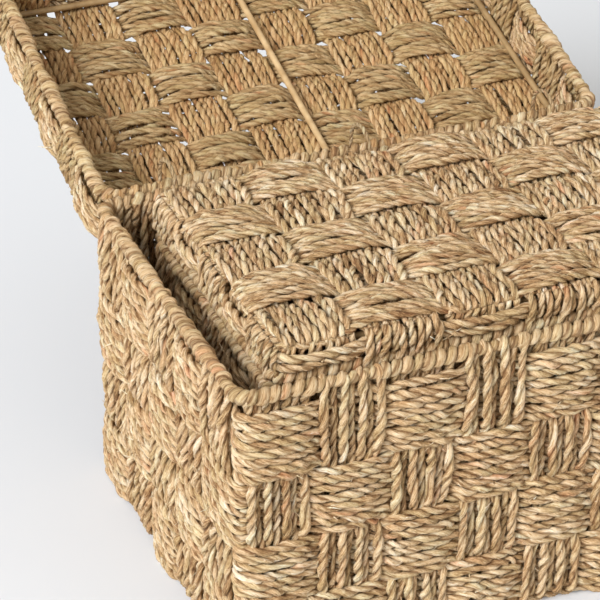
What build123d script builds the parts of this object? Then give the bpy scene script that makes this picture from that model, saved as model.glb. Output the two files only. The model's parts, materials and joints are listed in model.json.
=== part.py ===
"""Rectangular lidded basket of seagrass cord woven on a rod frame, with a smaller lidded basket nested in it.

Millimetres, +Z up, X along the long sides, front at -Y. The origin is the centre of the outer basket's
underside. Every woven box is drawn as a tray: a flat woven panel with its outer face at z = 0, and woven
walls that rise to a bound rim. A lid is such a tray turned upside down on its basket.
"""

import os
from dataclasses import dataclass

from build123d import *

# Woven bands. A band is a bundle of cords laid side by side; two bands cross in two layers.
BAND_THICKNESS = 5.6
LAYER_GAP = 0.6
LAYER = (BAND_THICKNESS + LAYER_GAP) / 2
WEAVE_HALF_THICKNESS = LAYER + BAND_THICKNESS / 2
CROSSING_CLEARANCE = 0.5
CORNER_BEND_RADIUS = 4.0
MIDDLE_OVERRUN = 1.5

# Frame rods and the cord wound round the rim.
ROD_RADIUS = 2.4
ROD_CLEARANCE = 0.2
BINDING_RADIUS = 6.0
RIM_CORNER_RADIUS = 15.0
RIM_GAP = 0.3

# Outer basket, measured along the centre line of its rim and walls.
OUTER_WIDTH = 400.0
OUTER_DEPTH = 268.0
OUTER_HEIGHT = 216.0
OUTER_COLUMN_PITCH = 50.0
OUTER_SIDE_PITCH = 51.0
OUTER_BAND_WIDTH = 36.0
OUTER_ROW_HEIGHT = 40.0
OUTER_TOP_ROW = 179.0
OUTER_ROW_PITCH = 50.5

# Outer lid, a little smaller than the basket so that it swings over the rim without touching it.
LID_WIDTH = 387.0
LID_DEPTH = 262.0
LID_HEIGHT = 54.0
LID_COLUMN_PITCH = 48.3
LID_SIDE_PITCH = 41.0
LID_SIDE_BAND_WIDTH = 31.0
LID_ROW = 26.0
LID_ROW_HEIGHT = 26.0
LID_OPENING = 165.0
HINGE_BEHIND_RIM = 4.2
HINGE_ABOVE_RIM = 5.0
TIE_LOOP_RADIUS = 18.3
TIE_CORD_RADIUS = 1.5
TIE_SPACING = 147.5

# Nested basket and its lift-off lid.
INNER_WIDTH = 345.0
INNER_DEPTH = 220.0
INNER_HEIGHT = 187.6
INNER_COLUMN_PITCH = 57.5
INNER_SIDE_PITCH = 44.0
INNER_BAND_WIDTH = 42.0
INNER_SIDE_BAND_WIDTH = 31.0
INNER_ROW_HEIGHT = 34.0
INNER_TOP_ROW = 156.0
INNER_ROW_PITCH = 43.5
INNER_LID_HEIGHT = 30.0
INNER_LID_ROW = 17.8
INNER_LID_ROW_HEIGHT = 10.0
INNER_OFFSET = (5.0, -5.0)
RESTING_GAP = 0.3


@dataclass
class Tray:
    """A woven panel with four woven walls and a bound rim, in its own frame."""

    name: str
    width: float
    depth: float
    height: float
    columns: list
    sides: list
    rows: list
    column_band: float
    side_band: float
    row_height: float
    phase: int
    place: Location

    @property
    def walls(self):
        """Outward direction, half distance between walls, band centres and band width, round the ring."""
        half_width, half_depth = self.width / 2, self.depth / 2
        return [
            ("front", Vector(0, -1, 0), half_depth, self.columns, self.column_band),
            ("right", Vector(1, 0, 0), half_width, self.sides, self.side_band),
            ("back", Vector(0, 1, 0), half_depth, self.columns, self.column_band),
            ("left", Vector(-1, 0, 0), half_width, self.sides, self.side_band),
        ]


def centred(count, pitch):
    """Evenly spaced places either side of zero."""
    return [pitch * (index - (count - 1) / 2) for index in range(count)]


def side_of(parity):
    """+1 on the outer layer for even parity, -1 on the inner layer for odd."""
    return 1 if parity % 2 == 0 else -1


def over_and_under(centres, half_widths, sides, start, end, overrun=0.0):
    """Places and offsets of a band's middle as it passes over and under the bands it crosses.

    On the outer layer the band stays flat for an overrun past each band that it crosses.
    """
    path = [(start, sides[0] * LAYER)]
    for centre, half_width, side in zip(centres, half_widths, sides):
        reach = half_width + CROSSING_CLEARANCE + (overrun if side > 0 else 0)
        path += [(place, side * LAYER) for place in (centre - reach, centre + reach) if start < place < end]
    path.append((end, sides[-1] * LAYER))
    return path


def band(plane, path, width):
    """One band: its path along the plane's Y with offsets along its X, thickened and given a width."""
    half = BAND_THICKNESS / 2
    outline = [(offset + half, place) for place, offset in path]
    outline += [(offset - half, place) for place, offset in reversed(path)]
    with BuildPart() as strip:
        with BuildSketch(plane):
            with BuildLine():
                Polyline(*outline, close=True)
            make_face()
        extrude(amount=width / 2, both=True)
    return strip.part


def wall_stakes(tray, wall_index):
    """The upright bands of one wall, passing over and under the rows from the panel to the rim."""
    name, outward, distance, centres, width = tray.walls[wall_index]
    along = Vector(0, 0, 1).cross(outward)
    first = sum(len(wall[3]) for wall in tray.walls[:wall_index])
    top = tray.height - BINDING_RADIUS - RIM_GAP
    rising = list(reversed(tray.rows))
    half_heights = [tray.row_height / 2] * len(rising)
    stakes = []
    for index, centre in enumerate(centres):
        sides = [
            side_of(first + index + row + tray.phase)
            for row in range(len(rising), 0, -1)
        ]
        origin = outward * distance + along * centre
        plane = Plane(origin=origin, x_dir=outward, z_dir=outward.cross(Vector(0, 0, 1)))
        stakes.append(band(plane, over_and_under(rising, half_heights, sides, 0, top), width))
    return stakes


def panel_side(tray, column, side_index):
    """Layer of the front-to-back band where it crosses a left-to-right band of the panel."""
    return side_of(column + len(tray.rows) + 1 + side_index + tray.phase)


def panel_cross_bands(tray):
    """The panel's front-to-back bands."""
    limit = tray.depth / 2 - WEAVE_HALF_THICKNESS - RIM_GAP
    half_widths = [tray.side_band / 2] * len(tray.sides)
    bands = []
    for column, centre in enumerate(tray.columns):
        sides = [panel_side(tray, column, index) for index in range(len(tray.sides))]
        origin = (centre, 0, WEAVE_HALF_THICKNESS)
        plane = Plane(origin=origin, x_dir=(0, 0, -1), z_dir=(1, 0, 0))
        path = over_and_under(tray.sides, half_widths, sides, -limit, limit)
        bands.append(band(plane, path, tray.column_band))
    return bands


def panel_long_bands(tray):
    """The panel's left-to-right bands."""
    limit = tray.width / 2 - WEAVE_HALF_THICKNESS - RIM_GAP
    half_widths = [tray.column_band / 2] * len(tray.columns)
    gap = tray.columns[1] - tray.columns[0] - tray.column_band - 2 * CROSSING_CLEARANCE
    overrun = gap / 2 + MIDDLE_OVERRUN
    bands = []
    for index, centre in enumerate(tray.sides):
        sides = [-panel_side(tray, column, index) for column in range(len(tray.columns))]
        origin = (0, centre, WEAVE_HALF_THICKNESS)
        plane = Plane(origin=origin, x_dir=(0, 0, -1), z_dir=(0, -1, 0))
        path = over_and_under(tray.columns, half_widths, sides, -limit, limit, overrun)
        bands.append(band(plane, path, tray.side_band))
    return bands


def weft_loop(tray, row, shift):
    """Corner points and crossing points of a row's loop, moved outwards by a shift."""
    loop, corners = [], []
    ring_index = 0
    for name, outward, distance, centres, width in tray.walls:
        along = Vector(0, 0, 1).cross(outward)
        half_length = tray.width / 2 + tray.depth / 2 - distance
        corner = outward * (distance + LAYER + shift) - along * (half_length + LAYER + shift)
        loop.append((corner.X, corner.Y))
        corners.append((corner.X, corner.Y))
        for centre in centres:
            offset = -side_of(ring_index + row + tray.phase) * LAYER + shift
            reach = width / 2 + CROSSING_CLEARANCE
            for place in (centre - reach, centre + reach):
                point = outward * (distance + offset) + along * place
                loop.append((point.X, point.Y))
            ring_index += 1
    return loop, corners


def weft_row(tray, row):
    """One row woven round all four walls; row 1 is next to the rim."""
    outer, outer_corners = weft_loop(tray, row, BAND_THICKNESS / 2)
    inner, inner_corners = weft_loop(tray, row, -BAND_THICKNESS / 2)
    bottom = tray.rows[row - 1] - tray.row_height / 2
    with BuildPart() as ring:
        with BuildSketch(Plane.XY.offset(bottom)) as section:
            with BuildLine():
                Polyline(*outer, close=True)
            make_face()
            with BuildLine():
                Polyline(*inner, close=True)
            make_face(mode=Mode.SUBTRACT)
            bends = [
                vertex
                for vertex in section.vertices()
                if any((Vector(vertex) - Vector(*corner)).length < 0.01 for corner in outer_corners)
            ]
            fillet(bends, radius=CORNER_BEND_RADIUS)
        extrude(amount=tray.row_height)
    return ring.part


def rod_ring(width, depth, corner, radius, height, bore=0.0):
    """A round rod, or a tube round one, bent to a rounded rectangle."""
    x, y = width / 2, depth / 2
    with BuildPart() as ring:
        with BuildLine() as path:
            FilletPolyline((-x, -y), (x, -y), (x, y), (-x, y), radius=corner, close=True)
        start = Plane(origin=path.line @ 0, z_dir=path.line % 0)
        with BuildSketch(start):
            Circle(radius)
            if bore:
                Circle(bore, mode=Mode.SUBTRACT)
        sweep()
    return ring.part.moved(Location((0, 0, height)))


def panel_edge_rod(tray):
    """The frame rod along the inside of the bend between panel and walls."""
    inset = 2 * (WEAVE_HALF_THICKNESS + ROD_RADIUS + ROD_CLEARANCE)
    height = 2 * WEAVE_HALF_THICKNESS + ROD_RADIUS + ROD_CLEARANCE
    return rod_ring(tray.width - inset, tray.depth - inset, RIM_CORNER_RADIUS / 2, ROD_RADIUS, height)


def corner_posts(tray):
    """Upright rods inside the four corners, from the panel's rod to the rim."""
    inset = WEAVE_HALF_THICKNESS + ROD_RADIUS + ROD_CLEARANCE
    bottom = 2 * (WEAVE_HALF_THICKNESS + ROD_RADIUS + ROD_CLEARANCE)
    length = tray.height - BINDING_RADIUS - bottom
    with BuildPart() as posts:
        with BuildSketch(Plane.XY.offset(bottom)):
            with GridLocations(tray.width - 2 * inset, tray.depth - 2 * inset, 2, 2):
                Circle(ROD_RADIUS)
        extrude(amount=length)
    return posts.part


def brace_rod(tray):
    """A straight rod across the middle of a lid's panel, on its inside."""
    height = 2 * WEAVE_HALF_THICKNESS + ROD_RADIUS + ROD_CLEARANCE
    reach = tray.depth / 2 - WEAVE_HALF_THICKNESS - 2 * ROD_RADIUS - 2 * ROD_CLEARANCE
    with BuildPart() as rod:
        with BuildSketch(Plane.XZ.offset(-reach)):
            with Locations((0, height)):
                Circle(ROD_RADIUS)
        extrude(amount=2 * reach)
    return rod.part


def hinge_ties():
    """Loops of cord tied round both rims at the back, on the hinge line."""
    height = OUTER_HEIGHT + HINGE_ABOVE_RIM
    depth = OUTER_DEPTH / 2 + HINGE_BEHIND_RIM
    with BuildPart() as ties:
        with Locations(*[(x, depth, height) for x in centred(3, TIE_SPACING)]):
            Torus(TIE_LOOP_RADIUS, TIE_CORD_RADIUS, rotation=(0, 90, 0))
    return ties.part


def write(name, pieces, place=Location()):
    """Write one node: a piece, or a group of separate pieces."""
    with BuildPart() as node:
        add([piece.moved(place) for piece in pieces])
    node.part.label = name
    export_step(node.part, f"parts/{name}.step")


def write_tray(tray, has_posts):
    """Write every node of one woven tray."""
    rim = (tray.width, tray.depth, RIM_CORNER_RADIUS)
    write(f"{tray.name}_rim_rod", [rod_ring(*rim, ROD_RADIUS, tray.height)], tray.place)
    binding = rod_ring(*rim, BINDING_RADIUS, tray.height, bore=ROD_RADIUS + ROD_CLEARANCE)
    write(f"{tray.name}_rim_binding", [binding], tray.place)
    write(f"{tray.name}_panel_rod", [panel_edge_rod(tray)], tray.place)
    write(f"{tray.name}_panel_long_bands", panel_long_bands(tray), tray.place)
    write(f"{tray.name}_panel_cross_bands", panel_cross_bands(tray), tray.place)
    for index, wall in enumerate(tray.walls):
        write(f"{tray.name}_{wall[0]}_stakes", wall_stakes(tray, index), tray.place)
    for row in range(1, len(tray.rows) + 1):
        write(f"{tray.name}_weft_row_{row}", [weft_row(tray, row)], tray.place)
    if has_posts:
        write(f"{tray.name}_corner_posts", corner_posts(tray).solids(), tray.place)


os.makedirs("parts", exist_ok=True)

outer_basket = Tray(
    name="basket",
    width=OUTER_WIDTH,
    depth=OUTER_DEPTH,
    height=OUTER_HEIGHT,
    columns=centred(8, OUTER_COLUMN_PITCH),
    sides=centred(5, OUTER_SIDE_PITCH),
    rows=[OUTER_TOP_ROW - OUTER_ROW_PITCH * row for row in range(4)],
    column_band=OUTER_BAND_WIDTH,
    side_band=OUTER_BAND_WIDTH,
    row_height=OUTER_ROW_HEIGHT,
    phase=0,
    place=Location(),
)

hinge_line = Axis((0, OUTER_DEPTH / 2 + HINGE_BEHIND_RIM, OUTER_HEIGHT + HINGE_ABOVE_RIM), (1, 0, 0))
rim_spacing = 2 * BINDING_RADIUS + RIM_GAP
shut = Location((0, 0, OUTER_HEIGHT + rim_spacing + LID_HEIGHT), (180, 0, 0))
swing = Location(hinge_line.position) * Location((0, 0, 0), (-LID_OPENING, 0, 0))
opened = swing * Location(-hinge_line.position) * shut

outer_lid = Tray(
    name="lid",
    width=LID_WIDTH,
    depth=LID_DEPTH,
    height=LID_HEIGHT,
    columns=centred(8, LID_COLUMN_PITCH),
    sides=centred(6, LID_SIDE_PITCH),
    rows=[LID_ROW],
    column_band=OUTER_BAND_WIDTH,
    side_band=LID_SIDE_BAND_WIDTH,
    row_height=LID_ROW_HEIGHT,
    phase=1,
    place=opened,
)

inner_floor = 2 * WEAVE_HALF_THICKNESS + RESTING_GAP
inner_basket = Tray(
    name="inner_basket",
    width=INNER_WIDTH,
    depth=INNER_DEPTH,
    height=INNER_HEIGHT,
    columns=centred(6, INNER_COLUMN_PITCH),
    sides=centred(5, INNER_SIDE_PITCH),
    rows=[INNER_TOP_ROW - INNER_ROW_PITCH * row for row in range(4)],
    column_band=INNER_BAND_WIDTH,
    side_band=INNER_SIDE_BAND_WIDTH,
    row_height=INNER_ROW_HEIGHT,
    phase=0,
    place=Location((*INNER_OFFSET, inner_floor)),
)

inner_lid_top = inner_floor + INNER_HEIGHT + rim_spacing + INNER_LID_HEIGHT
inner_lid = Tray(
    name="inner_lid",
    width=INNER_WIDTH,
    depth=INNER_DEPTH,
    height=INNER_LID_HEIGHT,
    columns=centred(6, INNER_COLUMN_PITCH),
    sides=centred(5, INNER_SIDE_PITCH),
    rows=[INNER_LID_ROW],
    column_band=INNER_BAND_WIDTH,
    side_band=INNER_SIDE_BAND_WIDTH,
    row_height=INNER_LID_ROW_HEIGHT,
    phase=0,
    place=Location((*INNER_OFFSET, inner_lid_top), (180, 0, 0)),
)

write_tray(outer_basket, has_posts=True)
write_tray(outer_lid, has_posts=False)
write_tray(inner_basket, has_posts=True)
write_tray(inner_lid, has_posts=False)
write("lid_brace_rod", [brace_rod(outer_lid)], outer_lid.place)
write("hinge_ties", hinge_ties().solids())
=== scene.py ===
import json
import math
import zlib

import bpy
import numpy as np
from mathutils import Matrix, Vector


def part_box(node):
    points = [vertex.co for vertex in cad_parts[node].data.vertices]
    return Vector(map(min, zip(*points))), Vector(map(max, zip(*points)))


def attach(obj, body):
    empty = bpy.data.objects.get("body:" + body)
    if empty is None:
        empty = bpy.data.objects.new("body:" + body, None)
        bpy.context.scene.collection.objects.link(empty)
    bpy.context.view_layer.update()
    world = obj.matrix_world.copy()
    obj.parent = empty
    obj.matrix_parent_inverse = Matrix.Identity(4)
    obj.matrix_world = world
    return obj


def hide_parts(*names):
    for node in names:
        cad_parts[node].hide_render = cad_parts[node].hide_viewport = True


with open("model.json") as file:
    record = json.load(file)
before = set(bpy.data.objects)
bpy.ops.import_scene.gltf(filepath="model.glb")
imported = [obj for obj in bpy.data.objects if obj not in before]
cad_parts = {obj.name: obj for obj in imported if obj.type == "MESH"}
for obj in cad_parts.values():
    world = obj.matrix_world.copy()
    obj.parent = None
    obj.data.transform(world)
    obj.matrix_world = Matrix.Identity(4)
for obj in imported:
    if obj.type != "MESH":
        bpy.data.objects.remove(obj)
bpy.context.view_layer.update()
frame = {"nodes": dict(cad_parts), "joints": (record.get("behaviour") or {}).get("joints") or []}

# Lengths are in millimetres, apart from those of the floor, the lights and the camera, which are in metres.
MM = 0.001
X_AXIS, Y_AXIS, UP = np.eye(3)

# Sizes shared with the CAD part. A tray's size is its width, depth and height. Its columns and sides are the
# number and pitch of the bands on its long and short walls, and its rows are the heights of its woven rows.
HALF_WEAVE = 5.9
OUTER_SIZE, OUTER_COLUMNS, OUTER_SIDES = (400.0, 268.0, 216.0), (8, 50.0), (5, 51.0)
OUTER_ROWS = (179.0, 128.5, 78.0, 27.5)
LID_SIZE, LID_COLUMNS, LID_SIDES, LID_ROWS = (387.0, 262.0, 54.0), (8, 48.3), (6, 41.0), (26.0,)
INNER_SIZE, INNER_COLUMNS, INNER_SIDES = (345.0, 220.0, 187.6), (6, 57.5), (5, 44.0)
INNER_ROWS = (156.0, 112.5, 69.0, 25.5)
INNER_LID_HEIGHT, INNER_LID_ROWS = 30.0, (17.8,)
INNER_OFFSET = (5.0, -5.0)
RESTING_GAP = 0.3
RIM_SPACING = 12.3
EDGE_BEND, CORNER_BEND = 8.0, 15.0
LID_OPENING = 165.0
TIES, CAD_TIE_CORD_RADIUS = (3, 147.5), 1.5

# Cord: its radius, and the length of one full twist.
CORD_RADIUS, WEFT_RADIUS, TIE_CORD_RADIUS = 3.25, 3.45, 1.7
UPRIGHT_TURN, WEFT_TURN, WRAP_TURN, TIE_TURN = 24.0, 25.0, 38.0, 12.0
# Half of a two-ply section: angle from the middle of a ply, and radius as a share of the cord's.
HALF_SECTION = ((0, 1.0), (35, 0.93), (63, 0.75), (90, 0.42), (117, 0.75), (145, 0.93))
# How a real cord differs from an even one: the spacing of the changes along it, and their size. The twist
# changes by radians, and the swelling of the cord, of a ply and of a ridge of leaf by a share of the radius.
TWIST_CHANGE, SWELLING, PLY_SWELLING, RIDGE = (22.0, 0.85), (16.0, 0.07), (9.0, 0.12), (4.5, 0.07)
# The tone of a cord, of a stretch of it and of one lobe of the twist.
CORD_TONE, STRETCH_TONE, LOBE_TONE = 0.35, (60.0, 0.45), 0.75
# The grain of the leaf: its size round the cord, its stretch along it, how far it follows the twist, and the
# room in which each cord has a grain of its own.
FIBRE_SIZE, FIBRE_STRETCH, FIBRE_FOLLOW, FIBRE_ROOM = 3.0, 0.18, 0.7, 200.0

# Stray ends of leaf: how many to a metre of cord, and the part of a tray near its edges that has none.
CROSS_WALL_HAIRS, LONG_WALL_HAIRS, PANEL_HAIRS, WEFT_HAIRS = 14.0, 34.0, 3.0, 48.0
HAIRLESS_EDGE = 14.0
# Least and greatest length, half width, lift from the cord and bend of a hair, and how its heading varies.
HAIR_LENGTH, HAIR_WIDTH = (3.0, 10.0), (0.4, 1.1)
HAIR_LIFT, HAIR_BEND, HAIR_WAVER = (0.15, 0.8), (0.0, 0.5), 0.25
# Its root as a share of the cord's radius, how much it narrows, and its thickness as a share of its width.
HAIR_ROOT, HAIR_TAPER, HAIR_FLATNESS = 0.7, 0.85, 0.35
HAIR_GRAIN, HAIR_GRAIN_ROOM, HAIR_TONE = (0.3, 0.3, 0.1), 100.0, (1.3, 0.9)
HAIR_RINGS, HAIR_SIDES = 5, 3

# Bands: how far a front cord and a recessed cord stand out at the rim, where the band lies outside or inside
# it, how far they stay there, a recessed cord's share of the radius, and how thick cords are each way.
RIM_OUTSIDE, RIM_INSIDE, RIM_FLAT = (2.8, -0.8), (-1.6, -4.0), 6.0
RECESSED_SHARE, BAND_THICKNESS = 0.92, (0.92, 1.0)
# The cords of a band draw together between crossings, and spread again at them.
BAND_WAIST, BAND_SPREAD = 0.94, 0.07
# How a band strays at each crossing, sideways and outward, and the spacing and size of its cords' changes.
BAND_SHIFT, BAND_LIFT = 0.7, 0.25
CROSS_STRAY, LONG_STRAY, CORD_LIFT = (28.0, 0.9), (28.0, 1.5), (26.0, 0.4)

# Woven rows: how far out they lie at a corner, as a share of the way, and how much they spread from the pitch
# of their cords and narrow again where they pass through the wall.
ROW_CORNER, ROW_WIDTH, ROW_WAIST = 0.6, 1.03, 0.07
# The share of an end band's half width over which a row stays inside, and how rows and their cords stray.
ROW_END_FLAT = 0.8
ROW_SHIFT, ROW_WIDTH_CHANGE, ROW_STRAY, ROW_LIFT = 0.6, 0.015, (24.0, 0.5), (24.0, 0.3)

# The cord wound round the rim: length and points of a turn, reach from the rod, how far it draws in under the
# loops of the uprights, and over what length. Then its thickness, its fullness, and how its turns stray.
WRAP_PITCH, WRAP_POINTS, WRAP_REACH, WRAP_RECESS, WRAP_EASE = 7.6, 11, 2.9, 1.3, 4.0
WRAP_THICKNESS, WRAP_FULLNESS = (0.9, 1.1), 0.8
WRAP_TURN_CHANGE, WRAP_STRAY, WRAP_LIFT = (15.0, 0.04), (6.0, 0.35), (6.0, 0.15)
# The cord of a hinge tie: points of its ring, and fullness.
TIE_POINTS, TIE_FULLNESS = 60, 0.4


def smooth(x):
    x = np.clip(x, 0.0, 1.0)
    return x * x * (3.0 - 2.0 * x)


def eased(t, stations, values, before, after):
    """Holds each station's value over a stretch either side of it, and eases between them."""
    result = np.full(len(t), float(values[0]))
    for index in range(len(stations) - 1):
        start = stations[index] + after[index]
        end = stations[index + 1] - before[index + 1]
        result += (values[index + 1] - values[index]) * smooth((t - start) / max(end - start, 0.5))
    return result


def wander(rng, count, length, spacing, size, closed=False):
    """Smooth random values about zero for evenly spaced points along a length."""
    knots = max(2, int(round(length / spacing)))
    values = rng.normal(0.0, size, knots + 1)
    if closed:
        values[-1] = values[0]
    x = np.linspace(0, knots, count)
    i = np.minimum(x.astype(int), knots - 1)
    f = smooth(x - i)
    return values[i] * (1 - f) + values[i + 1] * f


def unit(vectors):
    return vectors / np.maximum(np.linalg.norm(vectors, axis=-1, keepdims=True), 1e-9)


def centred(count, pitch):
    return [pitch * (index - (count - 1) / 2) for index in range(count)]


def seeded(text):
    return np.random.default_rng(zlib.crc32(text.encode()))


def tube_quads(count, sides, closed=False):
    """The faces between the rings of a tube."""
    rings = np.arange(count if closed else count - 1)[:, None]
    ahead = (rings + 1) % count
    j = np.arange(sides)[None, :]
    k = (j + 1) % sides
    quads = [rings * sides + j, rings * sides + k, ahead * sides + k, ahead * sides + j]
    return np.stack(quads, -1).reshape(-1, 4)


class Bent:
    """A path of straight runs with rounded bends, measured along its sharp-cornered outline."""

    def __init__(self, corners, normals, bend, closed=False):
        self.corners = np.array(corners, float)
        ahead = np.roll(self.corners, -1, 0) if closed else self.corners[1:]
        runs = ahead - self.corners[: len(ahead)]
        self.lengths = np.linalg.norm(runs, axis=1)
        self.directions = runs / self.lengths[:, None]
        self.starts = np.concatenate([[0.0], np.cumsum(self.lengths)])
        self.total = self.starts[-1]
        self.normals = np.array(normals, float)
        self.bend = bend
        self.closed = closed

    def at(self, t):
        """Points and outward normals."""
        count = len(self.lengths)
        run = np.clip(np.searchsorted(self.starts, t, side="right") - 1, 0, count - 1)
        points = self.corners[run] + self.directions[run] * (t - self.starts[run])[:, None]
        normals = self.normals[run].copy()
        for corner in range(0 if self.closed else 1, count):
            distance = t - self.starts[corner]
            if self.closed:
                distance = (distance + self.total / 2) % self.total - self.total / 2
            near = np.abs(distance) < self.bend
            u = ((distance[near] + self.bend) / (2 * self.bend))[:, None]
            middle = self.corners[corner]
            start = middle - self.directions[corner - 1] * self.bend
            end = middle + self.directions[corner] * self.bend
            points[near] = (1 - u) ** 2 * start + 2 * u * (1 - u) * middle + u**2 * end
            normals[near] = unit((1 - u) * self.normals[corner - 1] + u * self.normals[corner])
        return points, normals


class Piece:
    """Mesh data of one piece, gathered cord by cord."""

    def __init__(self, name, body, node, slot, place, look=None, top=math.inf):
        self.name, self.body, self.node, self.slot, self.place = name, body, node, slot, place
        self.look = look or slot
        self.hair_zone = (HAIRLESS_EDGE, top - HAIRLESS_EDGE)
        self.rng = seeded(name)
        self.points, self.quads, self.triangles = [], [], []
        self.fibre, self.tone, self.crease_shade = [], [], []
        self.count = 0

    def extend(self, points, quads, triangles, fibre, tone, crease_shade):
        self.points.append(points)
        self.quads.append(quads + self.count)
        self.triangles.append(triangles + self.count)
        self.fibre.append(fibre)
        self.tone.append(tone)
        self.crease_shade.append(crease_shade)
        self.count += len(points)

    def cord(
        self, centre, lateral, turn, hairs=0.0, thick=(1.0, 1.0), closed=False, radius=CORD_RADIUS, full=0.0
    ):
        """A two-ply cord along the centre line, with hairs to the metre.

        lateral is the direction in which thick[1] scales the section, and full rounds out its waist.
        """
        rng = self.rng
        count = len(centre)
        if closed:
            tangent = np.roll(centre, -1, 0) - np.roll(centre, 1, 0)
            gaps = np.linalg.norm(np.roll(centre, -1, 0) - centre, axis=1)
            length = gaps.sum()
            along = np.concatenate([[0.0], np.cumsum(gaps)[:-1]])
        else:
            tangent = np.gradient(centre, axis=0)
            along = np.concatenate([[0.0], np.cumsum(np.linalg.norm(np.diff(centre, axis=0), axis=1))])
            length = along[-1]
        tangent = unit(tangent)
        across = unit(lateral - tangent * (lateral * tangent).sum(1, keepdims=True))
        out = np.cross(across, tangent)

        def varied(spacing, size):
            return wander(rng, count, length, spacing, size, closed)

        turns = round(length / turn) if closed else length / turn
        twist = 2 * np.pi * turns * along / length + varied(*TWIST_CHANGE)
        twist += rng.uniform(0, 2 * np.pi)

        angles = np.radians([angle + half for half in (0, 180) for angle, _ in HALF_SECTION])
        sides = len(angles)
        cos = np.cos(angles)
        first_ply = np.clip(0.5 + cos * 2, 0, 1)

        def by_ply(first, second):
            return first_ply[None, :] * first[:, None] + (1 - first_ply)[None, :] * second[:, None]

        even = np.tile([share + (1 - share) * full for _, share in HALF_SECTION], 2) * radius
        swelling = 1 + varied(*SWELLING)
        plies = [1 + varied(*PLY_SWELLING) for _ in range(2)]
        ridge_spacing, ridge_share = RIDGE
        ridges = np.stack([varied(ridge_spacing, ridge_share * radius) for _ in range(sides)], -1)
        reach = even[None, :] * by_ply(*plies) * swelling[:, None] + ridges
        theta = angles[None, :] + twist[:, None]
        u = (reach * np.cos(theta) * thick[0])[..., None]
        v = (reach * np.sin(theta) * thick[1])[..., None]
        points = (centre[:, None, :] + out[:, None, :] * u + across[:, None, :] * v).reshape(-1, 3)

        alpha = angles[None, :] + (1 - FIBRE_FOLLOW) * twist[:, None]
        lengthwise = np.repeat(along[:, None] * FIBRE_STRETCH, sides, 1)
        fibre = np.stack([FIBRE_SIZE * np.cos(alpha), FIBRE_SIZE * np.sin(alpha), lengthwise], -1)
        fibre = fibre.reshape(-1, 3) + rng.uniform(0, FIBRE_ROOM, 3)
        level = rng.normal(0, CORD_TONE)
        tones = [level + varied(*STRETCH_TONE) + varied(turn / 2, LOBE_TONE) for _ in range(2)]
        tone = by_ply(*tones).reshape(-1)
        # How far each point lies from the crease between the plies, 0 in the crease and 1 mid-ply: the
        # material paints shade into the crease from it.
        crease_shade = np.tile(np.abs(cos), count)

        triangles = np.zeros((0, 3), int)
        if not closed:
            points = np.concatenate([points, centre[[0, -1]]])
            fibre = np.concatenate([fibre, fibre[[0, -1]]])
            tone = np.concatenate([tone, tone[[0, -1]]])
            crease_shade = np.concatenate([crease_shade, [0.5, 0.5]])
            j = np.arange(sides)
            k = (j + 1) % sides
            last = (count - 1) * sides
            start, end = np.full(sides, count * sides), np.full(sides, count * sides + 1)
            triangles = np.concatenate([np.stack([start, k, j], -1), np.stack([end, last + j, last + k], -1)])
        self.extend(points, tube_quads(count, sides, closed), triangles, fibre, tone, crease_shade)

        for _ in range(rng.poisson(hairs * length * MM)):
            at = rng.integers(2, count - 2)
            angle = rng.uniform(0, 2 * np.pi)
            normal = out[at] * np.cos(angle) + across[at] * np.sin(angle)
            self.hair(centre[at] + normal * radius * HAIR_ROOT, tangent[at] * rng.choice([-1, 1]), normal)

    def hair(self, root, direction, normal):
        """A stray end of leaf that lifts off the cord and tapers towards its tip."""
        rng = self.rng
        low, high = self.hair_zone
        if not low < root[2] < high:
            return
        length = rng.uniform(*HAIR_LENGTH)
        heading = unit(direction + normal * rng.uniform(*HAIR_LIFT) + rng.normal(0, HAIR_WAVER, 3))
        bend = np.cross(heading, rng.normal(0, 1, 3)) * rng.uniform(*HAIR_BEND)
        steps = np.linspace(0, 1, HAIR_RINGS)[:, None]
        centre = root + heading * steps * length + bend * steps**2 * length * 0.5
        side = unit(np.cross(heading, normal))
        over = np.cross(side, heading)
        width = (rng.uniform(*HAIR_WIDTH) * (1 - HAIR_TAPER * steps)).reshape(-1, 1, 1)
        angles = np.radians([90, 210, 330])
        section = side * np.cos(angles)[:, None] + over * np.sin(angles)[:, None] * HAIR_FLATNESS
        points = (centre[:, None, :] + section[None] * width).reshape(-1, 3)
        last = (HAIR_RINGS - 1) * HAIR_SIDES
        triangles = np.array([[2, 1, 0], [last, last + 1, last + 2]])
        fibre = points * HAIR_GRAIN + rng.uniform(0, HAIR_GRAIN_ROOM, 3)
        tone = np.full(len(points), rng.normal(*HAIR_TONE))
        self.extend(points, tube_quads(HAIR_RINGS, HAIR_SIDES), triangles, fibre, tone, np.ones(len(points)))

    def build(self, material):
        points = np.concatenate(self.points)
        quads = np.concatenate(self.quads)
        triangles = np.concatenate(self.triangles)
        place = np.array(self.place)
        points = (points @ place[:3, :3].T + place[:3, 3]) * MM
        mesh = bpy.data.meshes.new(self.name)
        mesh.vertices.add(len(points))
        mesh.vertices.foreach_set("co", points.ravel())
        corners = np.concatenate([quads.ravel(), triangles.ravel()])
        mesh.loops.add(len(corners))
        mesh.loops.foreach_set("vertex_index", corners)
        mesh.polygons.add(len(quads) + len(triangles))
        starts = np.concatenate([np.arange(len(quads)) * 4, len(quads) * 4 + np.arange(len(triangles)) * 3])
        mesh.polygons.foreach_set("loop_start", starts)
        mesh.polygons.foreach_set("use_smooth", np.ones(len(starts), bool))
        mesh.update(calc_edges=True)
        for name, kind, field, values in (
            ("fibre", "FLOAT_VECTOR", "vector", np.concatenate(self.fibre).ravel()),
            ("tone", "FLOAT", "value", np.concatenate(self.tone)),
            ("crease_shade", "FLOAT", "value", np.concatenate(self.crease_shade)),
        ):
            mesh.attributes.new(name, kind, "POINT").data.foreach_set(field, values)
        mesh.materials.append(material)
        thing = bpy.data.objects.new(self.name, mesh)
        bpy.context.scene.collection.objects.link(thing)
        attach(thing, self.body)
        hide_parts(self.node)


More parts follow.
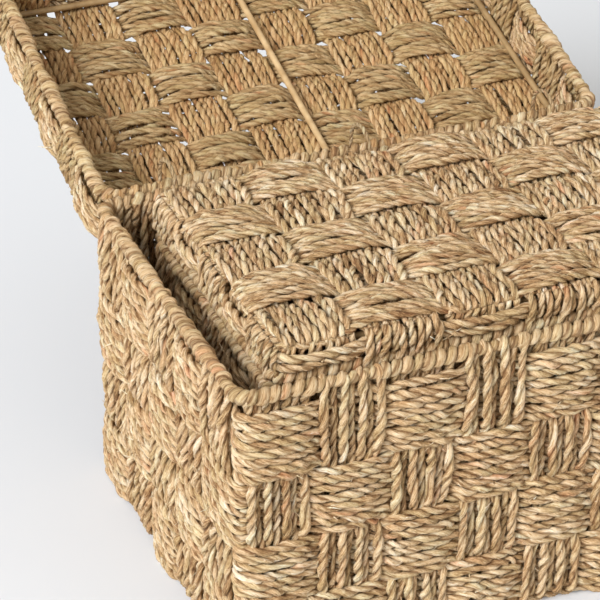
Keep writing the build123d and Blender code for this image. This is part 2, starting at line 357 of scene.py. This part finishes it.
class Weave:
    """How one set of cords lies: number and spacing in a band, and how far bands stand out and in."""

    def __init__(
        self, count, spacing, out, inside, pillow=0.0, recess=0.0, flat=0.35, radius=CORD_RADIUS, full=0.0
    ):
        self.count, self.spacing, self.out, self.inside = count, spacing, out, inside
        self.pillow, self.recess, self.flat, self.radius, self.full = pillow, recess, flat, radius, full
        self.reach = spacing * (count - 1) / 2

    def cords(self):
        """Each cord's place in its band, counted from the middle, and how much of the pillow it has."""
        for cord in range(self.count):
            q = cord - (self.count - 1) / 2
            yield q, 1 - (2 * q / (self.count - 1)) ** 2


class Tray:
    """A woven tray in its own frame, as in the CAD part: panel at the bottom, rim at the top."""

    def __init__(self, body, size, columns, sides, rows, weaves, place, step, phase=0, looks=(None, None)):
        self.body, self.place, self.step, self.phase, self.looks = body, place, step, phase, looks
        self.width, self.depth, self.height = size
        self.columns, self.sides, self.rows = centred(*columns), centred(*sides), rows
        self.column, self.side, self.panel_column, self.panel_side, self.weft = weaves

    # Layers, by the same rule as the CAD part: 1 outside and -1 inside.
    def layer(self, crossing):
        return 1 if (crossing + self.phase) % 2 == 0 else -1

    def wall_side(self, wall, index, row):
        n, m = len(self.columns), len(self.sides)
        back, left = 2 * n + m - 1 - index, 2 * (n + m) - 1 - index
        ring = {"front": index, "right": n + index, "back": back, "left": left}
        return self.layer(ring[wall] + row)

    def panel_side_of(self, column, side):
        return self.layer(column + len(self.rows) + 1 + side)

    def crossings(self, path, walls, crosswise, index):
        """Where a band crosses others: places along its path, its layers, and whether it is in the panel."""
        down, up = walls
        panel_start, panel_end = path.starts[1], path.starts[2]
        middle = (panel_start + panel_end) / 2
        found = []
        for row, height in enumerate(self.rows, 1):
            found.append((self.height - height, self.wall_side(down, index, row), False))
        for other, place in enumerate(self.sides if crosswise else self.columns):
            side = self.panel_side_of(index, other) if crosswise else -self.panel_side_of(other, index)
            found.append((middle + place, side, True))
        for row in range(len(self.rows), 0, -1):
            rise = self.rows[row - 1] - HALF_WEAVE
            found.append((panel_end + rise, self.wall_side(up, index, row), False))
        return zip((0.0, found[0][1], False), *found, (path.total, found[-1][1], False))

    def strip_pieces(self, kind, walls, look):
        """One piece for each node that the strips run through."""
        nodes = [f"{walls[0]}_stakes", f"panel_{kind}_bands", f"{walls[1]}_stakes"]
        pieces = []
        for node in nodes:
            slot = "weft_cord" if node == "panel_long_bands" else "upright_cord"
            name = f"{self.body}_{node}"
            pieces.append(Piece(f"{name}_cords", self.body, name, slot, self.place, look, self.height))
        return pieces

    def strips(self, crosswise):
        """The cords of every band that runs up one wall, over the panel and up the opposite wall."""
        if crosswise:
            kind, walls, along, lateral, half = "cross", ("front", "back"), Y_AXIS, X_AXIS, self.depth / 2
            centres, wall_weave = self.columns, self.column
            panel_weave, panel_cross = self.panel_column, self.panel_side
            look, wall_hairs, stray = self.looks[0], CROSS_WALL_HAIRS, CROSS_STRAY
        else:
            kind, walls, along, lateral, half = "long", ("left", "right"), X_AXIS, Y_AXIS, self.width / 2
            centres, wall_weave = self.sides, self.side
            panel_weave, panel_cross = self.panel_side, self.panel_column
            look, wall_hairs, stray = self.looks[1], LONG_WALL_HAIRS, LONG_STRAY
        top, low = UP * self.height, UP * HALF_WEAVE
        corners = [top - along * half, low - along * half, low + along * half, top + along * half]
        path = Bent(corners, [-along, -UP, along], EDGE_BEND)
        pieces = self.strip_pieces(kind, walls, look)
        rng = seeded(f"{self.body} {kind}")
        t = np.arange(int(path.total / self.step) + 1) * self.step
        t[-1] = path.total
        route, outward = path.at(t)
        for index, centre in enumerate(centres):
            stations, sides, in_panel = self.crossings(path, walls, crosswise, index)
            last = len(stations) - 1
            weaves = [panel_weave if inside else wall_weave for inside in in_panel]
            crossed = [panel_cross if inside else self.weft for inside in in_panel]
            flat = [w.flat * (c.reach + c.radius) for w, c in zip(weaves, crossed)]
            flat[0] = flat[last] = RIM_FLAT
            drift = eased(t, stations, rng.normal(0, BAND_SHIFT, len(stations)), flat, flat)
            lifts = rng.normal(0, BAND_LIFT, len(stations))
            spread = BAND_WAIST + BAND_SPREAD * eased(t, stations, sides, flat, flat) ** 2
            pitch = eased(t, stations, [weave.spacing for weave in weaves], flat, flat)
            for cord, (q, pillow) in enumerate(wall_weave.cords()):
                recessed = cord % 2 == 1
                levels = []
                for place, (side, weave) in enumerate(zip(sides, weaves)):
                    if place in (0, last):
                        level = (RIM_OUTSIDE if side > 0 else RIM_INSIDE)[recessed]
                    else:
                        level = weave.out if side > 0 else -weave.inside
                        level += side * (weave.pillow * pillow - (weave.recess if recessed else 0.0))
                    levels.append(level + lifts[place])
                offset = eased(t, stations, levels, flat, flat)
                shift = centre + q * pitch * spread + drift + wander(rng, len(t), path.total, *stray)
                offset += wander(rng, len(t), path.total, *CORD_LIFT)
                points = route + outward * offset[:, None] + lateral[None, :] * shift[:, None]
                for part, (piece, start, end) in enumerate(zip(pieces, path.starts, path.starts[1:])):
                    run = points[(t >= start - self.step / 2) & (t <= end + self.step / 2)]
                    if part == 0 and sides[0] > 0 and not recessed:
                        run = np.concatenate([self.loop(points[0], outward[0], offset[0]), run[1:]])
                    if part == 2 and sides[-1] > 0 and not recessed:
                        run = np.concatenate([run[:-1], self.loop(points[-1], outward[-1], offset[-1])[::-1]])
                    panel = part == 1
                    weave = panel_weave if panel else wall_weave
                    piece.cord(
                        run,
                        np.tile(lateral, (len(run), 1)),
                        UPRIGHT_TURN * weave.radius / CORD_RADIUS,
                        hairs=PANEL_HAIRS if panel else wall_hairs,
                        thick=BAND_THICKNESS,
                        radius=weave.radius * (RECESSED_SHARE if recessed and not panel else 1.0),
                        full=weave.full,
                    )
        return pieces

    def loop(self, top, outward, reach):
        """Points of a loop over the rim, from its end inside the rim to the top of the upright outside."""
        angle = np.radians(np.arange(200, -1, -20))[:, None]
        return top - outward * reach + outward * reach * np.cos(angle) + UP * abs(reach) * np.sin(angle)

    def outline(self):
        """The path round the four walls, from the front left corner."""
        x, y = self.width / 2, self.depth / 2
        corners = [(-x, -y, 0), (x, -y, 0), (x, y, 0), (-x, y, 0)]
        return Bent(corners, [-Y_AXIS, X_AXIS, Y_AXIS, -X_AXIS], CORNER_BEND, closed=True)

    def walls(self, path):
        """The walls in order round the outline: name, weave, and the index and place of each upright band."""
        for number, (wall, sense) in enumerate((("front", 1), ("right", 1), ("back", -1), ("left", -1))):
            centres, weave = (self.columns, self.column) if number % 2 == 0 else (self.sides, self.side)
            middle = path.starts[number] + path.lengths[number] / 2
            bands = [(index, middle + sense * centre) for index, centre in enumerate(centres)]
            yield wall, weave, bands[::sense]

    def wefts(self):
        """The cords of each row, woven round all four walls."""
        weave = self.weft
        path = self.outline()
        samples = int(path.total / self.step)
        t = (path.starts[3] + np.arange(samples) * path.total / samples) % path.total
        route, outward = path.at(t)
        pieces = []
        for row, height in enumerate(self.rows, 1):
            name = f"{self.body}_weft_row_{row}"
            piece = Piece(f"{name}_cords", self.body, name, "weft_cord", self.place)
            rng = seeded(name)
            corner = (ROW_CORNER, 0.0, 0.0, ROW_WIDTH)
            found = []
            for start, (wall, other, bands) in zip(path.starts, self.walls(path)):
                found.append((start, *corner))
                half = other.reach + other.radius
                for position, (index, place) in enumerate(bands):
                    side = -self.wall_side(wall, index, row)
                    end_flat = ROW_END_FLAT if side < 0 else weave.flat
                    hold_before = half * (end_flat if position == 0 else weave.flat)
                    hold_after = half * (end_flat if position == len(bands) - 1 else weave.flat)
                    width = ROW_WIDTH + rng.normal(0, ROW_WIDTH_CHANGE)
                    found.append((place, side, hold_before, hold_after, width))
            found.append((path.total, *corner))
            stations, sides, before, after, widths = zip(*found)
            shifts = rng.normal(0, ROW_SHIFT, len(stations))
            shifts[-1] = shifts[0]
            inward = 1 - np.clip(eased(t, stations, sides, before, after) / ROW_CORNER, -1, 1) ** 2
            spread = eased(t, stations, widths, before, after) - ROW_WAIST * inward
            drift = eased(t, stations, shifts, before, after)
            for q, pillow in weave.cords():
                outside = weave.out + weave.pillow * pillow
                levels = [side * (outside if side > 0 else weave.inside) for side in sides]
                offset = eased(t, stations, levels, before, after)
                offset += wander(rng, samples, path.total, *ROW_LIFT, True)
                points = route + outward * offset[:, None]
                points[:, 2] = height + q * weave.spacing * spread + drift
                points[:, 2] += wander(rng, samples, path.total, *ROW_STRAY, True)
                lateral = np.tile(UP, (samples, 1))
                turn = WEFT_TURN * weave.radius / WEFT_RADIUS
                piece.cord(points, lateral, turn, WEFT_HAIRS, closed=True, radius=weave.radius)
            pieces.append(piece)
        return pieces

    def rim_wrap(self):
        """The cord wound round the rim rod and over the ends of the uprights."""
        path = self.outline()
        node = f"{self.body}_rim_binding"
        piece = Piece(f"{self.body}_rim_wrap", self.body, node, "binding_cord", self.place)
        wall_turns = [round(length / WRAP_PITCH) for length in path.lengths]
        count = sum(wall_turns) * WRAP_POINTS
        wound = np.arange(count) / WRAP_POINTS

        def varied(spacing, size):
            return wander(piece.rng, count, path.total, spacing, size, True)

        angle = 2 * np.pi * (wound + varied(*WRAP_TURN_CHANGE))
        turns_before = np.concatenate([[0], np.cumsum(wall_turns)])
        t = (np.interp(wound, turns_before, path.starts) + varied(*WRAP_STRAY)) % path.total
        points, outward = path.at(t)
        reach = WRAP_REACH + varied(*WRAP_LIFT) - WRAP_RECESS * self.looped(t, path)
        centre = points + outward * (reach * np.cos(angle))[:, None] + UP * (reach * np.sin(angle))[:, None]
        centre[:, 2] += self.height
        lateral = np.cross(UP, outward)
        piece.cord(centre, lateral, WRAP_TURN, thick=WRAP_THICKNESS, closed=True, full=WRAP_FULLNESS)
        return piece

    def looped(self, t, path):
        """How far the places t along the rim lie under uprights that loop over it, from 0 to 1."""
        cover = np.zeros(len(t))
        for wall, weave, bands in self.walls(path):
            for index, place in bands:
                if self.wall_side(wall, index, 1) > 0:
                    inside = weave.reach + WRAP_EASE - np.abs(t - place)
                    cover = np.maximum(cover, smooth(inside / WRAP_EASE))
        return cover


def rotation_x(degrees):
    return Matrix.Rotation(math.radians(degrees), 4, "X")


# Places of the trays.
hinge = next(joint for joint in frame["joints"] if joint["name"] == "lid_hinge")
hinge_point = Vector(hinge["pos_m"]) / MM
shut = Matrix.Translation((0, 0, OUTER_SIZE[2] + RIM_SPACING + LID_SIZE[2])) @ rotation_x(180)
opened = Matrix.Translation(hinge_point) @ rotation_x(-LID_OPENING) @ Matrix.Translation(-hinge_point) @ shut
inner_width, inner_depth, inner_height = INNER_SIZE
inner_floor = 2 * HALF_WEAVE + RESTING_GAP
inner_place = Matrix.Translation((*INNER_OFFSET, inner_floor))
inner_lid_top = inner_floor + inner_height + RIM_SPACING + INNER_LID_HEIGHT
inner_lid_place = Matrix.Translation((*INNER_OFFSET, inner_lid_top)) @ rotation_x(180)

# Weaves.
outer_uprights = Weave(7, 6.15, 4.3, 3.4, recess=4.3, flat=0.6, radius=3.5)
outer_weft = Weave(8, 6.55, 4.6, 3.2, pillow=1.6, radius=WEFT_RADIUS)
floor_long = Weave(7, 6.3, 2.7, 2.7, flat=0.45)
floor_cross = Weave(7, 6.15, 2.7, 2.7, flat=0.45)
lid_long = Weave(8, 4.85, 4.2, 4.2, pillow=1.6, radius=2.8, full=0.35)
lid_cross = Weave(9, 4.85, 3.2, 3.2, recess=0.8, flat=0.5, radius=2.9, full=0.35)
lid_side = Weave(8, 4.7, 3.2, 3.2, recess=0.8, flat=0.5, radius=2.7)
lid_weft = Weave(6, 5.2, 4.2, 3.6, pillow=0.8, radius=2.9)
inner_uprights = Weave(9, 5.9, 3.2, 3.2, recess=1.5, flat=0.5)
inner_sides = Weave(8, 5.0, 3.2, 3.2, recess=1.5, flat=0.5, radius=2.9)
inner_weft = Weave(7, 6.1, 4.0, 3.4, pillow=0.8, radius=WEFT_RADIUS)
inner_floor_long = Weave(8, 5.0, 2.7, 2.7, flat=0.45, radius=2.9)
inner_floor_cross = Weave(9, 5.9, 2.7, 2.7, flat=0.45)
top_long = Weave(8, 5.05, 4.4, 3.4, pillow=1.5, radius=2.95, full=0.15)
top_cross = Weave(9, 5.9, 3.4, 3.2, recess=1.4, flat=0.5)
top_weft = Weave(2, 5.4, 4.2, 3.4, radius=WEFT_RADIUS)

# Trays. A step is the distance between the points of a cord.
FINE, MIDDLING, COARSE = 2.0, 2.4, 3.0
trays = [
    Tray(
        "basket", OUTER_SIZE, OUTER_COLUMNS, OUTER_SIDES, OUTER_ROWS,
        (outer_uprights, outer_uprights, floor_cross, floor_long, outer_weft),
        Matrix.Identity(4), FINE,
    ),
    Tray(
        "lid", LID_SIZE, LID_COLUMNS, LID_SIDES, LID_ROWS,
        (lid_cross, lid_side, lid_cross, lid_long, lid_weft),
        opened, MIDDLING, phase=1, looks=("lid_golden", "lid_khaki"),
    ),
    Tray(
        "inner_basket", INNER_SIZE, INNER_COLUMNS, INNER_SIDES, INNER_ROWS,
        (inner_uprights, inner_sides, inner_floor_cross, inner_floor_long, inner_weft),
        inner_place, COARSE,
    ),
    Tray(
        "inner_lid", (inner_width, inner_depth, INNER_LID_HEIGHT), INNER_COLUMNS, INNER_SIDES, INNER_LID_ROWS,
        (inner_uprights, inner_sides, top_cross, top_long, top_weft),
        inner_lid_place, FINE, looks=("fine_cord", "fine_cord"),
    ),
]


# Materials.
def material(name, build):
    made = bpy.data.materials.new(name)
    made.use_nodes = True
    tree = made.node_tree
    tree.nodes.clear()
    shader = tree.nodes.new("ShaderNodeBsdfPrincipled")
    output = tree.nodes.new("ShaderNodeOutputMaterial")
    tree.links.new(shader.outputs[0], output.inputs[0])
    build(tree, shader)
    return made


def add(tree, kind, links=(), **settings):
    """A node with its settings made and its inputs linked or set."""
    node = tree.nodes.new(kind)
    for key, value in settings.items():
        setattr(node, key, value)
    for key, value in dict(links).items():
        if isinstance(value, bpy.types.NodeSocket):
            tree.links.new(value, node.inputs[key])
        else:
            node.inputs[key].default_value = value
    return node


def attribute(tree, name, output):
    return add(tree, "ShaderNodeAttribute", attribute_name=name).outputs[output]


def calculated(tree, operation, *values):
    return add(tree, "ShaderNodeMath", enumerate(values), operation=operation).outputs[0]


def multiplied(tree, colour, layer):
    factor, first, second, result = 0, 6, 7, 2
    inputs = {factor: 1.0, first: colour, second: layer}
    return add(tree, "ShaderNodeMix", inputs, data_type="RGBA", blend_type="MULTIPLY").outputs[result]


def ramp(tree, factor, stops):
    node = add(tree, "ShaderNodeValToRGB", {0: factor})
    elements = node.color_ramp.elements
    while len(elements) < len(stops):
        elements.new(0.5)
    for element, (place, colour) in zip(elements, stops):
        element.position = place
        element.color = (*colour, 1.0)
    return node.outputs[0]


def srgb(red, green, blue):
    values = [channel / 255 for channel in (red, green, blue)]
    return tuple(v / 12.92 if v <= 0.04045 else ((v + 0.055) / 1.055) ** 2.4 for v in values)


def tinted(stops, red, green, blue):
    return [(place, (r * red, g * green, b * blue)) for place, (r, g, b) in stops]


WHITE = (1.0, 1.0, 1.0)
STRAW = [
    (0.1, srgb(124, 87, 51)),
    (0.32, srgb(187, 148, 101)),
    (0.5, srgb(222, 189, 144)),
    (0.68, srgb(238, 213, 173)),
    (0.9, srgb(251, 241, 219)),
]
# Layers that darken or colour the straw: thin dark veins, slow changes of hue up to a rare red, and painted
# shade in the creases between plies.
VEINS = [(0.36, (0.58, 0.49, 0.4)), (0.42, WHITE)]
HUES = [(0.35, (0.96, 1.0, 0.95)), (0.5, WHITE), (0.66, (1.0, 0.965, 0.95)), (0.8, (1.0, 0.72, 0.64))]
# Painted shade of the crease between the plies: its colour in the crease for each kind of cord, then fading
# over the crease's sides.
GROOVE_SHADE, SOFT_GROOVE_SHADE, FINE_GROOVE_SHADE = (0.38, 0.29, 0.2), (0.6, 0.5, 0.4), (0.42, 0.33, 0.24)
GROOVE_SIDE_SHADE = [(0.45, (0.9, 0.88, 0.86)), (0.8, WHITE)]
BROAD, STREAK, FINE_STREAK, VEIN, HUE = 0.5, 1.1, 2.4, 0.75, 0.12
STREAK_CONTRAST, LOBE_CONTRAST = 1.25, 0.15
BUMP_STRENGTH, BUMP_DEPTH = 0.8, 0.0012


def cord_material(name, stops, groove_shade, contrast):
    """Twisted leaf: streaks along the fibres, painted shade in the grooves between plies, and a tone that
    varies by lobe.
    """

    def build(tree, shader):
        fibre = attribute(tree, "fibre", "Vector")

        def noise(scale, **inputs):
            inputs = {"Vector": fibre, "Scale": scale, **inputs}
            return add(tree, "ShaderNodeTexNoise", inputs).outputs[0]

        broad, streak, fine_streak = (
            noise(scale, Detail=4.0, Roughness=0.65) for scale in (BROAD, STREAK, FINE_STREAK)
        )
        height = calculated(tree, "ADD", streak, fine_streak)
        strength = STREAK_CONTRAST * contrast
        level = calculated(tree, "MULTIPLY_ADD", height, strength, 0.5 - strength)
        for more in (
            calculated(tree, "MULTIPLY_ADD", broad, contrast, -contrast / 2),
            calculated(tree, "MULTIPLY", attribute(tree, "tone", "Fac"), LOBE_CONTRAST * contrast),
        ):
            level = calculated(tree, "ADD", level, more)
        colour = ramp(tree, level, stops)
        for layer in (
            ramp(tree, noise(VEIN, Detail=2.0, Distortion=0.4), VEINS),
            ramp(tree, noise(HUE, Detail=1.0), HUES),
            # painted shade in the crease between the plies
            ramp(tree, attribute(tree, "crease_shade", "Fac"), [(0.0, groove_shade), *GROOVE_SIDE_SHADE]),
        ):
            colour = multiplied(tree, colour, layer)
        tree.links.new(colour, shader.inputs["Base Color"])
        relief = {"Strength": BUMP_STRENGTH, "Distance": BUMP_DEPTH, "Height": height}
        tree.links.new(add(tree, "ShaderNodeBump", relief).outputs[0], shader.inputs["Normal"])
        shader.inputs["Roughness"].default_value = 0.6
        shader.inputs["Specular IOR Level"].default_value = 0.35

    return material(name, build)


def cane_material(name, dark, light):
    def build(tree, shader):
        place = add(tree, "ShaderNodeTexCoord").outputs["Object"]
        noise = add(tree, "ShaderNodeTexNoise", {"Vector": place, "Scale": 90.0, "Detail": 3.0})
        colour = ramp(tree, noise.outputs[0], [(0.3, srgb(*dark)), (0.7, srgb(*light))])
        tree.links.new(colour, shader.inputs["Base Color"])
        shader.inputs["Roughness"].default_value = 0.5

    return material(name, build)


# Each look: its straw colours, the colour of its painted crease shade, and its contrast.
looks = {
    name: cord_material(name, stops, groove_shade, contrast)
    for name, stops, groove_shade, contrast in (
        ("fine_cord", STRAW, FINE_GROOVE_SHADE, 0.8),
        ("weft_cord", STRAW, GROOVE_SHADE, 0.72),
        ("upright_cord", STRAW, GROOVE_SHADE, 0.72),
        ("binding_cord", tinted(STRAW, 0.87, 0.87, 0.85), GROOVE_SHADE, 0.6),
        ("lid_khaki", tinted(STRAW, 0.84, 0.83, 0.74), SOFT_GROOVE_SHADE, 0.5),
        ("lid_golden", tinted(STRAW, 0.9, 0.82, 0.69), SOFT_GROOVE_SHADE, 0.5),
    )
}
pale_cane = cane_material("frame_rod", (178, 144, 98), (214, 184, 138))
dull_cane = cane_material("dull_frame_rod", (138, 110, 72), (176, 146, 102))

# Frame rods: the CAD's own, with a cane look.
for name, node in frame["nodes"].items():
    if name.endswith(("_rod", "_posts")):
        cane = dull_cane if name.endswith(("panel_rod", "_posts")) else pale_cane
        for material_slot in node.material_slots:
            material_slot.material = cane

# Hinge ties: closed loops in place of the CAD's rings.
low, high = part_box("hinge_ties")
ties = Piece("hinge_tie_cords", "basket", "hinge_ties", "binding_cord", Matrix.Identity(4))
tie_radius = (high.z - low.z) / 2 / MM - CAD_TIE_CORD_RADIUS
turn = np.linspace(0, 2 * np.pi, TIE_POINTS, endpoint=False)
for x in centred(*TIES):
    y = hinge_point.y + tie_radius * np.cos(turn)
    z = hinge_point.z + tie_radius * np.sin(turn)
    centre = np.stack([np.full(TIE_POINTS, x), y, z], -1)
    lateral = np.tile(X_AXIS, (TIE_POINTS, 1))
    ties.cord(centre, lateral, TIE_TURN, closed=True, radius=TIE_CORD_RADIUS, full=TIE_FULLNESS)

pieces = []
for tray in trays:
    pieces += tray.strips(crosswise=True) + tray.strips(crosswise=False) + tray.wefts() + [tray.rim_wrap()]
for piece in [*pieces, ties]:
    piece.build(looks[piece.look])

# Floor.
FLOOR_SIZE = 14.0
bpy.ops.mesh.primitive_plane_add(size=FLOOR_SIZE, location=(0, 0, 0))
floor = bpy.context.object
floor.name = "floor"


def floor_build(tree, shader):
    shader.inputs["Base Color"].default_value = (0.744, 0.762, 0.786, 1)
    shader.inputs["Roughness"].default_value = 0.8
    shader.inputs["Specular IOR Level"].default_value = 0.1


floor.data.materials.append(material("floor", floor_build))

# Light.
world = bpy.data.worlds.new("world")
bpy.context.scene.world = world
world.use_nodes = True
background = world.node_tree.nodes["Background"]
background.inputs["Color"].default_value = (1.0, 0.975, 0.93, 1)
background.inputs["Strength"].default_value = 0.62


LIGHT_TARGET = Vector((0, 0, 0.15))


def area_light(name, place, size, power, colour):
    """A square light that faces the middle of the basket."""
    data = bpy.data.lights.new(name, "AREA")
    data.color = colour
    data.shape = "SQUARE"
    data.size = size
    data.energy = power
    lamp = bpy.data.objects.new(name, data)
    lamp.location = place
    lamp.rotation_euler = (LIGHT_TARGET - lamp.location).to_track_quat("-Z", "Y").to_euler()
    bpy.context.scene.collection.objects.link(lamp)


area_light("key", place=(-11.0, -6.75, 8.4), size=7.5, power=2750, colour=(0.98, 1.0, 1.04))
area_light("fill", place=(1.6, -2.2, 1.4), size=1.6, power=6, colour=(1.0, 0.86, 0.68))

# Camera, at the photograph's angle.
AZIMUTH, ELEVATION, ROLL = 22.51, 30.8, 0.33
CAMERA_PLACE = (-0.722, -1.491, 1.156)
FOCAL_LENGTH, SENSOR_WIDTH = 167.1, 36.0
azimuth, elevation, roll = (math.radians(angle) for angle in (AZIMUTH, ELEVATION, ROLL))
forward = Vector(
    (math.sin(azimuth) * math.cos(elevation), math.cos(azimuth) * math.cos(elevation), -math.sin(elevation))
)
level_right = Vector((math.cos(azimuth), -math.sin(azimuth), 0))
level_up = level_right.cross(forward)
right = level_right * math.cos(roll) + level_up * math.sin(roll)
up = right.cross(forward)
camera_data = bpy.data.cameras.new("camera")
camera_data.lens = FOCAL_LENGTH
camera_data.sensor_width = SENSOR_WIDTH
camera = bpy.data.objects.new("camera", camera_data)
camera.matrix_world = Matrix.Translation(CAMERA_PLACE) @ Matrix((right, up, -forward)).transposed().to_4x4()
bpy.context.scene.collection.objects.link(camera)
bpy.context.scene.camera = camera
bpy.context.scene.view_settings.view_transform = "Standard"
